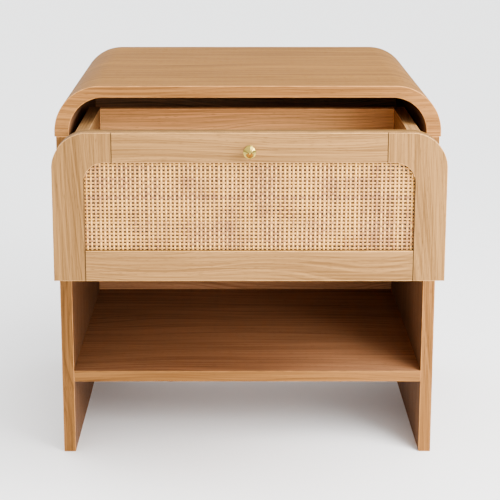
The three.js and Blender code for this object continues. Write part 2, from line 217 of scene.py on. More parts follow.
class Tree:
    """A node tree that is filled through one method."""

    def __init__(self, tree):
        self.tree = tree
        tree.nodes.clear()

    def put(self, socket, value):
        """Gives an input a link or a constant."""
        if isinstance(value, Value):
            self.tree.links.new(value.socket, socket)
            return
        if socket.type == "RGBA" and len(value) == 3:
            value = (*value, 1.0)
        socket.default_value = value

    def node(self, kind, options=None, *values, **named):
        """A node of a kind, with its settings, and its inputs in order and by name."""
        made = self.tree.nodes.new(kind)
        for key, value in (options or {}).items():
            setattr(made, key, value)
        inputs = [socket for socket in made.inputs if socket.enabled]
        for socket, value in zip(inputs, values):
            self.put(socket, value)
        for name, value in named.items():
            self.put(next(s for s in inputs if s.name == name), value)
        outputs = [socket for socket in made.outputs if socket.enabled]
        return Value(self, outputs[0]) if outputs else None

    def join(self, *parts):
        """Several geometries as one."""
        made = self.node("GeometryNodeJoinGeometry")
        for part in parts:
            self.tree.links.new(part.socket, made.socket.node.inputs[0])
        return made

    def vector(self, x=0.0, y=0.0, z=0.0):
        return self.node("ShaderNodeCombineXYZ", None, x, y, z)

    def parts(self, vector):
        split = self.node("ShaderNodeSeparateXYZ", None, vector)
        return split["X"], split["Y"], split["Z"]


class Shader(Tree):
    """A material's nodes, ending in a Principled BSDF."""

    def __init__(self, name):
        self.material = bpy.data.materials.new(name)
        self.material.use_nodes = True
        super().__init__(self.material.node_tree)

    def noise(self, vector, scale=1.0, detail=2.0, roughness=0.5):
        return self.node("ShaderNodeTexNoise", None, vector, Scale=scale, Detail=detail,
                         Roughness=roughness)["Fac"]

    def mix(self, amount, first, second, blend="MIX"):
        """A colour between two, by an amount."""
        options = {"data_type": "RGBA", "blend_type": blend}
        return self.node("ShaderNodeMix", options, amount, first, second)

    def shade(self, body, amount):
        """A colour made darker or lighter by an amount that varies over the surface."""
        grey = self.node("ShaderNodeCombineColor", None, amount, amount, amount)
        return self.mix(1.0, body, grey, blend="MULTIPLY")

    def grain_map(self):
        """Places on a board in metres: along the grain and across it."""
        return self.parts(self.node("ShaderNodeUVMap", {"uv_map": UV_NAME}))[:2]

    def tone(self):
        """The brightness or age that is stored with a board's face or a strand; on boards the
        brightness is partly painted light and shade.
        """
        return self.node("ShaderNodeAttribute", {"attribute_name": TONE_AND_PAINTED_LIGHT_NAME})["Fac"]

    def finish(self, bump=None, depth=0.0, **inputs):
        """Ends the tree in a Principled BSDF, with a Bump node where a height is given."""
        if bump is not None:
            inputs["Normal"] = self.node("ShaderNodeBump", None, Height=bump,
                                         Distance=depth)
        surface = self.node("ShaderNodeBsdfPrincipled", None, **inputs)
        self.node("ShaderNodeOutputMaterial", None, surface)
        return self.material


# ---------------------------------------------------------------- finishes

def oak(name, wood, ring_pitch=9 * MM, contrast=1.0):
    """Sliced oak veneer. The grain runs along the map's first axis, in metres."""
    s = Shader(name)
    along, across = s.grain_map()
    # The figure: rings that wander, close up and open out into long flames.
    sway = s.noise(s.vector(along * 2.2, across * 6.0), detail=1.0)
    fine_sway = s.noise(s.vector(along * 11.0, across * 30.0), detail=2.0)
    depth = across + (sway - 0.5) * 0.11 + (fine_sway - 0.5) * 0.005
    rings = s.noise(s.vector(along * 0.5, depth / ring_pitch), detail=2.0, roughness=0.7)
    line = 1.0 - abs(rings * 2.0 - 1.0).between(0.0, 0.16)
    fine = s.noise(s.vector(along * 1.2, depth / ring_pitch * 4.2, 9.3), detail=2.0, roughness=0.7)
    bands = s.noise(s.vector(along * 0.7, depth * 24.0, 3.1), detail=2.0)
    streaks = s.noise(s.vector(along * 6.0, across * 520.0, 7.7), detail=3.0, roughness=0.65)
    clouds = s.noise(s.vector(along * 4.0, across * 7.0, 1.3), detail=2.0)
    # Open pores: short dark dashes, thickest in the early wood of each ring.
    dashes = s.noise(s.vector(along * 95.0, across * 1500.0, 5.0), detail=1.0)
    pores = dashes.between(0.58, 0.72) * (rings.between(0.42, 0.60) * 0.7 + 0.3)
    tone = bands.between(0.2, 0.8) * 0.14 + fine.between(0.25, 0.75) * 0.28 \
        + streaks.between(0.28, 0.72) * 0.44 + line * 0.22 + clouds.between(0.2, 0.8) * 0.10 - 0.08
    light = tuple(min(1.0, part * 1.28) for part in wood)
    dark = (wood[0] * 0.54, wood[1] * 0.50, wood[2] * 0.46)
    body = s.mix(((tone - 0.5) * contrast + 0.5).between(0.0, 1.0), light, dark)
    # The stored value paints each board's light and shade as well as its own tone.
    surface = s.shade(body, (1.0 - pores * 0.42) * (s.tone() + 1.0))
    height = streaks * 0.3 - pores
    return s.finish(bump=height, depth=0.06 * MM, **{
        "Base Color": surface,
        "Roughness": 0.45 + streaks * 0.14 + pores * 0.15,
        "Specular IOR Level": 0.02,
    })


def arris(name, light):
    """The sanded edge of a veneered board, with a trace of the grain; its paler colour is a painted
    highlight.
    """
    s = Shader(name)
    along, across = s.grain_map()
    flecks = s.noise(s.vector(along * 60.0, across * 400.0), detail=2.0)
    # The paler copy is the painted highlight along the edge.
    pale = tuple(min(1.0, part * 2.1) for part in light)
    body = s.shade(s.mix(flecks.between(0.35, 0.75), pale, light), s.tone() + 1.0)
    return s.finish(bump=flecks, depth=0.02 * MM, **{
        "Base Color": body, "Roughness": 0.52 + flecks * 0.1, "Specular IOR Level": 0.06,
    })


def cane(name, along, pale, tan):
    """Split cane: glossy bark with fine fibres along the strand, each strand its own tone."""
    s = Shader(name)
    places = s.parts(s.node("ShaderNodeTexCoord")["Object"])

    def stretched(scales, scale_along):
        """The place with a scale for each axis, and its own scale along the strand."""
        scales = [scale_along if i == along else scale for i, scale in enumerate(scales)]
        return s.vector(*(part * scale for part, scale in zip(places, scales)))

    fibre = s.noise(stretched((900.0, 900.0, 900.0), 26.0), detail=2.0)
    patch = s.noise(stretched((18.0, 60.0, 18.0), 30.0), detail=3.0)
    age = s.tone() * 0.65 + patch.between(0.35, 0.7) * 0.65 + fibre.between(0.3, 0.8) * 0.3
    wear = age - 0.22
    return s.finish(bump=fibre, depth=0.05 * MM, **{
        "Base Color": s.mix(wear.between(0.0, 1.0), pale, tan),
        "Roughness": 0.42 + fibre * 0.25,
    })


BEECH_LIGHT = (0.62, 0.42, 0.22)
BEECH_DARK = (0.48, 0.30, 0.14)


def beech(name):
    """Plain beech with its small flecks."""
    s = Shader(name)
    x, y, z = s.parts(s.node("ShaderNodeTexCoord")["Object"])
    flecks = s.noise(s.vector(x * 160.0, y * 60.0, z * 500.0), detail=2.0)
    return s.finish(bump=flecks, depth=0.05 * MM, **{
        "Base Color": s.mix(flecks.between(0.3, 0.7), BEECH_LIGHT, BEECH_DARK),
        "Roughness": 0.66 + flecks * 0.12,
    })


def metal(name, shade, roughness, brush=(300.0, 300.0, 300.0), worn=0.12, depth=0.01):
    """Bare or plated metal with brushing and faint handling marks."""
    s = Shader(name)
    x, y, z = s.parts(s.node("ShaderNodeTexCoord")["Object"])
    brushed = s.noise(s.vector(x * brush[X], y * brush[Y], z * brush[Z]), detail=2.0)
    marks = s.noise(s.vector(x * 90.0, y * 90.0, z * 90.0), detail=3.0)
    dull = tuple(part * (1.0 - worn * 1.6) for part in shade)
    return s.finish(bump=brushed, depth=depth * MM, **{
        "Base Color": s.mix(marks.between(0.45, 0.8), shade, dull),
        "Roughness": roughness + brushed * worn * 0.5 + marks.between(0.5, 0.8) * worn,
        "Metallic": 1.0,
    })


def finish_makers():
    """Every finish by name, from the colours in the sidebar."""
    wood, weave, metals = settings().wood, settings().cane, settings().metal
    return {
        "case": lambda n: oak(n, tuple(wood.case), ring_pitch=18 * MM, contrast=1.2),
        "band": lambda n: oak(n, tuple(wood.band)),
        "shelf": lambda n: oak(n, tuple(wood.shelf)),
        "front": lambda n: oak(n, tuple(wood.front), ring_pitch=7 * MM),
        "box": lambda n: oak(n, tuple(wood.box), contrast=0.9),
        "backing": lambda n: oak(n, tuple(wood.backing)),
        "inner": lambda n: oak(n, tuple(wood.inner)),
        "edge": lambda n: oak(n, tuple(wood.edge)),
        "seam": lambda n: arris(n, tuple(part * 0.06 for part in wood.front)),
        # These edge finishes paint a highlight: a paler copy of each board's wood.
        "case_arris": lambda n: arris(n, tuple(wood.band)),
        "shelf_arris": lambda n: arris(n, tuple(wood.band)),
        "front_arris": lambda n: arris(n, tuple(part * 1.3 for part in wood.front)),
        "box_arris": lambda n: arris(n, tuple(wood.box)),
        "cane_upright": lambda n: cane(n, Z, tuple(weave.pale), tuple(weave.tan)),
        "cane_cross": lambda n: cane(n, X, tuple(weave.yellow), tuple(weave.tan)),
        "beech": beech,
        "brass": lambda n: metal(n, tuple(metals.brass), 0.10, worn=0.05, depth=0.002),
        "steel": lambda n: metal(n, tuple(metals.steel), 0.28, brush=(900.0, 6.0, 900.0)),
        "zinc": lambda n: metal(n, tuple(metals.zinc), 0.40),
    }


def finish_of(name):
    label = f"nightstand_{name}"
    return bpy.data.materials.get(label) or finish_makers()[name](label)


# ---------------------------------------------------------------- shaping

def settings():
    return bpy.context.scene.nightstand


def arc(centre, radius, start, end, steps):
    """Points round a centre from one angle to another, in degrees, in x and z."""
    angles = np.radians(np.linspace(start, end, steps + 1))
    return [(centre[0] + radius * math.cos(a), centre[1] + radius * math.sin(a)) for a in angles]


def rectangle(low, high):
    return [(low.x, low.z), (high.x, low.z), (high.x, high.z), (low.x, high.z)]


def prism(outline, front, back):
    """A closed bmesh: an outline in x and z carried from one depth to another."""
    bm = bmesh.new()
    rings = [[bm.verts.new((x, depth, z)) for x, z in outline] for depth in (front, back)]
    count = len(outline)
    bm.faces.new(rings[0])
    bm.faces.new(rings[1][::-1])
    for i in range(count):
        j = (i + 1) % count
        bm.faces.new((rings[0][j], rings[0][i], rings[1][i], rings[1][j]))
    bmesh.ops.recalc_face_normals(bm, faces=bm.faces)
    return bm


# The places of a board's finishes among its material slots.
VENEER, ARRIS, FRONT, SHADED_INSIDE, SEAM, SHADED_UPPER_FACES = range(6)


def ease_edges(bm, width, segments=2, sharp=28.0):
    """Rounds every sharp edge and gives the new faces the finish of an arris, whose paler colour is a
    painted highlight.
    """
    bm.normal_update()
    edges = [e for e in bm.edges if len(e.link_faces) == 2
             and e.calc_face_angle() > math.radians(sharp)]
    bmesh.ops.bevel(bm, geom=edges, offset=width, offset_type="OFFSET", segments=segments,
                    profile=0.5, affect="EDGES", material=ARRIS, clamp_overlap=True)
    bm.normal_update()


def offset_of(name):
    """A steady shift of the grain for each piece, so that no two show the same figure."""
    code = sum((i + 3) * ord(letter) for i, letter in enumerate(name))
    return (code * 0.173) % 5.0, (code * 0.457) % 3.0


def lay_grain(bm, name, along, length_axis=None, run=None):
    """Maps each face in metres, with the grain along one axis of the piece.

    An end face is edge-banded along length_axis, or along its own longer side. run is a
    function of a point that gives the distance along a bent board, for faces that bend.
    """
    layer = bm.loops.layers.uv.new(UV_NAME)
    shift_along, shift_across = offset_of(name)
    spans = [max(v.co[i] for v in bm.verts) - min(v.co[i] for v in bm.verts) for i in range(3)]
    for face in bm.faces:
        normal = max(range(3), key=lambda i: abs(face.normal[i]))
        plane = [i for i in range(3) if i != normal]
        bends = run is not None and normal != Y
        if normal != along:
            first = along
        elif length_axis in plane:
            first = length_axis
        else:
            first = max(plane, key=lambda i: spans[i])
        second = next(i for i in plane if i != first) if first in plane else plane[0]
        lift = 0.37 * normal + (0.11 if face.normal[normal] > 0 else 0.0)
        for loop in face.loops:
            point = loop.vert.co
            u, v = (run(point), point[Y]) if bends else (point[first], point[second])
            loop[layer].uv = (u + shift_along, v + shift_across + lift)


def to_mesh(bm, name, smooth_under=20.0):
    mesh = bpy.data.meshes.new(name)
    for face in bm.faces:
        face.smooth = True
    bm.to_mesh(mesh)
    bm.free()
    mesh.set_sharp_from_angle(angle=math.radians(smooth_under))
    return mesh


def place(name, mesh, finishes):
    """Links a mesh to the scene at the origin, with its finishes."""
    obj = bpy.data.objects.new(name, mesh)
    bpy.context.scene.collection.objects.link(obj)
    for finish in finishes:
        mesh.materials.append(finish_of(finish))
    return obj


def adopt(obj, body, slot, *nodes):
    """A finished piece rides on its body and stands for its CAD nodes."""
    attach(obj, body)
    if nodes:
        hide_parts(*nodes)
    return obj


def settle(obj, cutters=()):
    """Applies an object's modifiers, and drops what was used to cut it."""
    graph = bpy.context.evaluated_depsgraph_get()
    made = bpy.data.meshes.new_from_object(obj.evaluated_get(graph))
    obj.modifiers.clear()
    old = obj.data
    obj.data = made
    bpy.data.meshes.remove(old)
    for cutter in cutters:
        bpy.data.objects.remove(cutter)
    return obj


def carve(obj, cutter_meshes):
    """Cuts closed meshes out of a piece."""
    cutters = []
    for mesh in cutter_meshes:
        cutter = bpy.data.objects.new("cutter", mesh)
        bpy.context.scene.collection.objects.link(cutter)
        cutter.hide_render = True
        cutters.append(cutter)
        knife = obj.modifiers.new("carve", "BOOLEAN")
        knife.operation = "DIFFERENCE"
        knife.solver = "EXACT"
        knife.object = cutter
    bpy.context.view_layer.update()
    return settle(obj, cutters)


def turned(profile, axis_start, axis, steps=32):
    """A closed lathe body: [distance along the axis, radius] points turned about it."""
    bm = bmesh.new()
    forward = Vector(axis).normalized()
    side = forward.orthogonal().normalized()
    up = forward.cross(side)
    rings = []
    for distance, radius in profile:
        centre = Vector(axis_start) + forward * distance
        if radius == 0.0:
            rings.append([bm.verts.new(centre)])
            continue
        angles = [2 * math.pi * i / steps for i in range(steps)]
        rings.append([bm.verts.new(centre + (side * math.cos(a) + up * math.sin(a)) * radius)
                      for a in angles])
    for first, second in zip(rings, rings[1:]):
        for i in range(steps):
            j = (i + 1) % steps
            corners = [first[i % len(first)], first[j % len(first)],
                       second[j % len(second)], second[i % len(second)]]
            corners = list(dict.fromkeys(corners))
            if len(corners) > 2:
                bm.faces.new(corners)
    bmesh.ops.recalc_face_normals(bm, faces=bm.faces)
    return bm


# How much lighter or darker than its finish each board is drawn: partly the board's own tone, partly
# painted light and shade, darker for boards in shade and lighter for the drawer back and the back
# panel.
BOARD_TONES_AND_PAINTED_LIGHT = {
    "front_stile_left": -0.22, "front_stile_right": -0.12, "side_panel_left": -0.36,
    "side_panel_right": -0.42, "front_bottom_rail": -0.08, "drawer_back": 0.70,
    "front_top_rail": -0.08, "drawer_side_left": -0.55, "drawer_side_right": -0.2,
    "drawer_bottom": 0.35, "lower_shelf": -0.46, "back_panel": 0.2,
}
# The same, painted light and shade included, for front bands that differ from the rest of their board.
BAND_TONES_AND_PAINTED_LIGHT = {"side_panel_right": -0.22, "lower_shelf": -0.28}
# The share of a case board's tone that its outer faces take; its inside faces take all of it, as
# painted shade.
OUTER_SHARE = 0.25
SEAM_REACH = 0.6 * MM


def choose_finishes(bm, fronts, inner, seams):
    """Picks each face's finish by where it is and which way it looks."""
    for face in bm.faces:
        centre = face.calc_center_median()
        if face.material_index == ARRIS:
            if any(abs(abs(centre.x) - seam) < SEAM_REACH for seam in seams):
                face.material_index = SEAM
        elif fronts and face.normal.y < -0.9:
            face.material_index = FRONT
        # Faces that look down or inwards take the inner finish, painted shade of the case's inside.
        elif inner and (face.normal.z < -0.3 or face.normal.x * centre.x < 0):
            face.material_index = SHADED_INSIDE
        # Upward faces of the drawer front's pieces take the darker edge colour, painted shade.
        elif seams and face.normal.z > 0.2:
            face.material_index = SHADED_UPPER_FACES


def store_tones_and_painted_light(mesh, node, outer_share):
    """Stores the tone of a board, with its painted light and shade, on its faces."""
    tone = BOARD_TONES_AND_PAINTED_LIGHT.get(node, 0.0)
    outer = outer_share * tone
    tones = {VENEER: outer, ARRIS: outer, FRONT: BAND_TONES_AND_PAINTED_LIGHT.get(node, tone)}
    values = [tones.get(face.material_index, tone) for face in mesh.polygons]
    mesh.attributes.new(TONE_AND_PAINTED_LIGHT_NAME, "FLOAT", "FACE").data.foreach_set("value", values)


def veneered(node, along, finish="case", slot="oak_veneer", body="carcass", outline=None,
             run=None, cutters=(), fronts=None, seams=(), ease=None):
    """A veneered board in a CAD node's place: eased edges, mapped grain, and any pockets."""
    low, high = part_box(node)
    bm = prism(outline or rectangle(low, high), low.y, high.y)
    ease_edges(bm, ease or settings().wood.ease)
    lay_grain(bm, node, along, X if run else None, run)
    choose_finishes(bm, fronts, finish == "case", seams)
    mesh = to_mesh(bm, node)
    store_tones_and_painted_light(mesh, node, OUTER_SHARE if finish == "case" else 1.0)
    finishes = [finish, f"{finish}_arris", fronts or finish, "inner", "seam", "edge"]
    obj = place(f"{node}_board", mesh, finishes)
    if cutters:
        carve(obj, cutters)
    return adopt(obj, body, slot, node)


# ---------------------------------------------------------------- the case

SHELL_LOW, SHELL_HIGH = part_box("top_shell")
SHELL_OUTER_RADIUS = 60 * MM
SHELL_INNER_RADIUS = 45 * MM
SHELL_TOP_THICKNESS = 15 * MM
SHELL_LEG_THICKNESS = 19 * MM
BEND_X = SHELL_HIGH.x - SHELL_OUTER_RADIUS
BEND_Z = SHELL_HIGH.z - SHELL_OUTER_RADIUS
BEND_STEPS = 40


def shell_outline():
    """The bent board's section: outside from right to left, then back along the inside."""
    outer, inner = SHELL_OUTER_RADIUS, SHELL_INNER_RADIUS
    inner_x = SHELL_HIGH.x - SHELL_LEG_THICKNESS
    inside_x = inner_x - inner
    inside_z = SHELL_HIGH.z - SHELL_TOP_THICKNESS - inner
    foot = SHELL_LOW.z
    return [
        (SHELL_HIGH.x, foot),
        *arc((BEND_X, BEND_Z), outer, 0, 90, BEND_STEPS),
        *arc((-BEND_X, BEND_Z), outer, 90, 180, BEND_STEPS),
        (-SHELL_HIGH.x, foot),
        (-inner_x, foot),
        *arc((-inside_x, inside_z), inner, 180, 90, BEND_STEPS),
        *arc((inside_x, inside_z), inner, 90, 0, BEND_STEPS),
        (inner_x, foot),
    ]


def shell_run(point):
    """How far a point lies from the centre line, measured round the bend."""
    side = 1.0 if point[X] > 0 else -1.0
    reach = abs(point[X]) - BEND_X
    if reach <= 0:
        return point[X]
    middle_radius = (SHELL_OUTER_RADIUS + SHELL_INNER_RADIUS) / 2
    rise = point[Z] - BEND_Z
    if rise <= 0:
        return side * (BEND_X + middle_radius * math.pi / 2 - rise)
    return side * (BEND_X + middle_radius * math.atan2(reach, rise))


def pocket(node):
    """The round pocket that a cam lies in, a little wider than the cam itself."""
    low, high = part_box(node)
    centre = (low + high) / 2
    radius = (high.x - low.x) / 2 + 0.3 * MM
    past_end = 0.5 * MM
    depth = high.z - low.z + 2 * past_end
    bm = turned([(0, 0), (0, radius), (depth, radius), (depth, 0)],
                (centre.x, centre.y, low.z - past_end), (0, 0, 1), steps=24)
    return to_mesh(bm, "pocket")


def cams_of(board):
    return [f"{board}_cam_{side}_{end}" for side, _ in SIDES for end in ENDS]


def back_outline():
    """The back: as wide as its grooves below, and inside the shell's bend above."""
    low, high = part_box("back_panel")
    radius = SHELL_INNER_RADIUS
    step_x = SHELL_HIGH.x - SHELL_LEG_THICKNESS - 0.3 * MM
    corner = (step_x - radius, high.z - radius)
    return [
        (low.x, low.z), (high.x, low.z), (high.x, SHELL_LOW.z), (step_x, SHELL_LOW.z),
        *arc(corner, radius, 0, 90, BEND_STEPS // 2),
        *arc((-corner[0], corner[1]), radius, 90, 180, BEND_STEPS // 2),
        (-step_x, SHELL_LOW.z), (low.x, SHELL_LOW.z),
    ]


class NIGHTSTAND_OT_bent_shell(bpy.types.Operator):
    """Make the bent top with its legs"""

    bl_idname = "nightstand.bent_shell"
    bl_label = "Bent Shell"

    def execute(self, context):
        veneered("top_shell", X, outline=shell_outline(), run=shell_run, fronts="band")
        return {"FINISHED"}


class NIGHTSTAND_OT_case_boards(bpy.types.Operator):
    """Make the side panels, the shelf, the divider and the back"""

    bl_idname = "nightstand.case_boards"
    bl_label = "Case Boards"

    def execute(self, context):
        for name, _ in SIDES:
            veneered(f"side_panel_{name}", Z, fronts="band")
        for node, word in (("lower_shelf", "lower"), ("divider_panel", "divider")):
            pockets = [pocket(cam) for cam in cams_of(word)]
            veneered(node, X, finish="shelf", fronts="band", cutters=pockets)
        veneered("back_panel", X, finish="shelf", slot="oak_box", outline=back_outline())
        return {"FINISHED"}


# ---------------------------------------------------------------- the drawer

FRONT_LOW, FRONT_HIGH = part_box("front_core_board")
RAIL_LOW, RAIL_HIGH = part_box("front_top_rail")
OPENING_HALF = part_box("front_bottom_rail")[1].x
OPENING_TOP = RAIL_LOW.z
OPENING_RADIUS = 23 * MM
FRONT_RADIUS = 42 * MM
CORNER_STEPS = 28


def arched(low, high, radius):
    """A panel with square lower corners and round upper ones."""
    return [
        (low.x, low.z), (high.x, low.z),
        *arc((high.x - radius, high.z - radius), radius, 0, 90, CORNER_STEPS),
        *arc((low.x + radius, high.z - radius), radius, 90, 180, CORNER_STEPS),
    ]


def stile_outline(side):
    """A stile: straight below, wide above where it holds both round corners."""
    radius = OPENING_RADIUS
    points = [
        (OPENING_HALF, FRONT_LOW.z), (FRONT_HIGH.x, FRONT_LOW.z),
        *arc((FRONT_HIGH.x - FRONT_RADIUS, FRONT_HIGH.z - FRONT_RADIUS), FRONT_RADIUS, 0, 90,
             CORNER_STEPS),
        (RAIL_HIGH.x, FRONT_HIGH.z), (RAIL_HIGH.x, OPENING_TOP),
        *arc((OPENING_HALF - radius, OPENING_TOP - radius), radius, 90, 0, CORNER_STEPS),
    ]
    return [(side * x, z) for x, z in points][::side]


class NIGHTSTAND_OT_drawer_box(bpy.types.Operator):
    """Make the drawer's four walls and its bottom"""

    bl_idname = "nightstand.drawer_box"
    bl_label = "Drawer Box"

    def execute(self, context):
        like = {"finish": "box", "slot": "oak_box", "body": "drawer"}
        for name, _ in SIDES:
            veneered(f"drawer_side_{name}", Y, **like)
        for node in ("drawer_back", "drawer_box_front", "drawer_bottom"):
            veneered(node, X, **like)
        return {"FINISHED"}


class NIGHTSTAND_OT_drawer_front(bpy.types.Operator):
    """Make the framed front: the core board, two stiles and two rails"""

    bl_idname = "nightstand.drawer_front"
    bl_label = "Drawer Front"

    def execute(self, context):
        like = {"finish": "front", "slot": "oak_front", "body": "drawer"}
        outline = arched(FRONT_LOW, FRONT_HIGH, FRONT_RADIUS)
        like["seams"] = (RAIL_HIGH.x, OPENING_HALF)
        # The core's face behind the cane takes the darkened backing, painted shade in the holes of the
        # weave.
        veneered("front_core_board", X, outline=outline, fronts="backing", **like)
        like["ease"] = settings().wood.joint
        for name, side in SIDES:
            veneered(f"front_stile_{name}", Z, outline=stile_outline(side), **like)
        for node in ("front_top_rail", "front_bottom_rail"):
            veneered(node, X, **like)
        return {"FINISHED"}


# ---------------------------------------------------------------- cane

def new_modifier_tree(name, inputs):
    """An empty Geometry Nodes tree with named inputs: {name: (socket kind, default)}."""
    group = bpy.data.node_groups.new(name, "GeometryNodeTree")
    group.interface.new_socket("Geometry", in_out="OUTPUT", socket_type="NodeSocketGeometry")
    group.interface.new_socket("Geometry", in_out="INPUT", socket_type="NodeSocketGeometry")
    for label, (kind, default) in inputs.items():
        socket = group.interface.new_socket(label, in_out="INPUT", socket_type=f"NodeSocket{kind}")
        if default is not None:
            socket.default_value = default
    tree = Tree(group)
    return tree, tree.node("NodeGroupInput")


def run_modifier(obj, tree, inputs):
    """Runs a tree on an object with its inputs set by socket identifier, and keeps the mesh."""
    modifier = obj.modifiers.new(tree.tree.name, "NODES")
    modifier.node_group = tree.tree
    for item in tree.tree.interface.items_tree:
        if item.in_out == "INPUT" and item.name in inputs:
            modifier[item.identifier] = inputs[item.name]
    bpy.context.view_layer.update()
    return settle(obj)


CANE_INPUTS = {
    "Half Width": ("Float", 190 * MM), "Foot": ("Float", 342 * MM), "Top": ("Float", 446 * MM),
    "Corner": ("Float", 23 * MM), "Depth": ("Float", 0.0), "Pitch Across": ("Float", 5.06 * MM),
    "Pitch Up": ("Float", 4.3 * MM), "Width": ("Float", 2.5 * MM),
    "Thickness": ("Float", 0.8 * MM), "Seed": ("Int", 0), "Odd Row": ("Float", 14.0),
    "Upright Finish": ("Material", None), "Cross Finish": ("Material", None),
}
STEPS_A_CROSSING = 4
CROSS_GAUGE = 0.94
GAUGE_SPREAD = 0.13
WAVE_SHARE = 0.55
# How far strands stray from their even spacing, and drift along their length.
STRAY_ACROSS = 0.32 * MM
STRAY_UP = 0.24 * MM
DRIFT = 0.9 * MM
DRIFT_SCALE = 14.0
# What the upright and the cross strands add to the seed, for where they lie and for their tone.
UPRIGHT_SEEDS = (11.0, 5.0)
CROSS_SEEDS = (23.0, 17.0)


def strand_lines(tree, count, crossings):
    """Separate straight lines side by side: x picks the strand, y runs along it."""
    grid = tree.node("GeometryNodeMeshGrid", None, **{
        "Size X": 1.0, "Size Y": 1.0, "Vertices X": count,
        "Vertices Y": crossings * STEPS_A_CROSSING + 1.0,
    })["Mesh"]
    ends = tree.node("GeometryNodeInputMeshEdgeVertices")
    first_x = tree.parts(ends["Position 1"])[0]
    second_x = tree.parts(ends["Position 2"])[0]
    is_rung = tree.node("FunctionNodeCompare", {"data_type": "FLOAT", "operation": "GREATER_THAN"},
                        abs(first_x - second_x), 0.2 / count)
    lines = tree.node("GeometryNodeDeleteGeometry", {"domain": "EDGE", "mode": "EDGE_FACE"},
                      grid, is_rung)
    return tree.node("GeometryNodeMeshToCurve", None, lines)


def lot_of(tree, low, index, seed):
    """A random number from low to 1 for each strand."""
    return tree.node("FunctionNodeRandomValue", {"data_type": "FLOAT"}, Min=low, Max=1.0,
                     ID=index, Seed=seed)


def corner_cut(reach, limit, corner):
    """How far the opening's round corner cuts in, at a reach near its limit."""
    over = (reach - (limit - corner)).at_least(0.0)
    return corner - (corner * corner - over * over).at_least(0.0).math("SQRT")


def flat_strand(tree, curves, sheet):
    """A flat six-sided section along every curve, in each strand's own gauge."""
    curves = tree.node("GeometryNodeSetCurveNormal", {"mode": "FREE"}, curves,
                       Normal=(0.0, -1.0, 0.0))
    ring = tree.node("GeometryNodeCurvePrimitiveCircle", None, Resolution=6, Radius=0.5)["Curve"]
    flat = tree.node("GeometryNodeTransform", None, ring,
                     Scale=tree.vector(sheet["Thickness"], sheet["Width"], 1.0))
    gauge = tree.node("GeometryNodeInputNamedAttribute", {"data_type": "FLOAT"}, "gauge")
    return tree.node("GeometryNodeCurveToMesh", None, curves, **{
        "Profile Curve": flat, "Scale": gauge["Attribute"], "Fill Caps": True,
    })


def strands(tree, sheet, upright):
    """One set of strands, fitted to the opening and waved over and under the other set."""
    half, foot, top, corner = (sheet[k] for k in ("Half Width", "Foot", "Top", "Corner"))
    across, up = sheet["Pitch Across"], sheet["Pitch Up"]
    height = top - foot
    count_across = (half * 2.0 / across).math("ROUND")
    count_up = (height / up).math("ROUND")
    if upright:
        count, crossings, gauge, seeds = count_across, count_up, 1.0, UPRIGHT_SEEDS
    else:
        count, crossings, gauge, seeds = count_up, count_across, CROSS_GAUGE, CROSS_SEEDS
    curves = strand_lines(tree, count, crossings)
    pick, along, _ = tree.parts(tree.node("GeometryNodeInputPosition"))
    index = ((pick + 0.5) * (count - 1.0)).math("ROUND")
    run = along + 0.5
    lot = lot_of(tree, -1.0, index, sheet["Seed"] + seeds[0])
    tone = lot_of(tree, 0.0, index, sheet["Seed"] + seeds[1])
    if upright:
        tone = tone ** 1.6 * 0.7
    else:
        odd = 1.0 - abs(index - sheet["Odd Row"]).between(0.0, 1.0)
        tone = tone * 0.6 + odd * 1.8
    for name, value in ((TONE_AND_PAINTED_LIGHT_NAME, tone), ("gauge", lot * GAUGE_SPREAD + gauge)):
        curves = tree.node("GeometryNodeStoreNamedAttribute",
                           {"data_type": "FLOAT", "domain": "POINT"}, curves,
                           Name=name, Value=value)
    parity = index.math("MODULO", 2.0) * -2.0 + 1.0
    if upright:
        x = (index + 0.5) * across - half + lot * STRAY_ACROSS
        z = foot + run * (height - corner_cut(abs(x), half, corner))
        phase = (z - foot) / up
    else:
        z = foot + (index + 0.5) * up + lot * STRAY_UP
        x = (half - corner_cut(z, top, corner)) * (run * 2.0 - 1.0)
        phase = (x + half) / across
    wave = ((phase - 0.5) * math.pi).math("COSINE") * parity * sheet["Thickness"] * WAVE_SHARE
    y = sheet["Depth"] + (wave * -1.0 if upright else wave)
    spread = tree.vector(x * DRIFT_SCALE, index * 3.7, z * DRIFT_SCALE)
    noise = tree.node("ShaderNodeTexNoise", None, spread, Scale=1.0, Detail=1.0)["Fac"]
    slip = (noise - 0.5) * DRIFT
    spot = tree.vector(x + slip, y, z) if upright else tree.vector(x, y, z + slip)
    curves = tree.node("GeometryNodeSetPosition", None, curves, Position=spot)
    body = tree.node("GeometryNodeRealizeInstances", None, flat_strand(tree, curves, sheet))
    finish = sheet["Upright Finish" if upright else "Cross Finish"]
    return tree.node("GeometryNodeSetMaterial", None, body, Material=finish)


def weave_tree():
    """Two sets of flat strands, woven over one and under one, in an arched opening."""
    tree, sheet = new_modifier_tree("cane_weave", CANE_INPUTS)
    woven = tree.join(*(strands(tree, sheet, upright) for upright in (True, False)))
    tree.node("NodeGroupOutput", None, woven)
    return tree


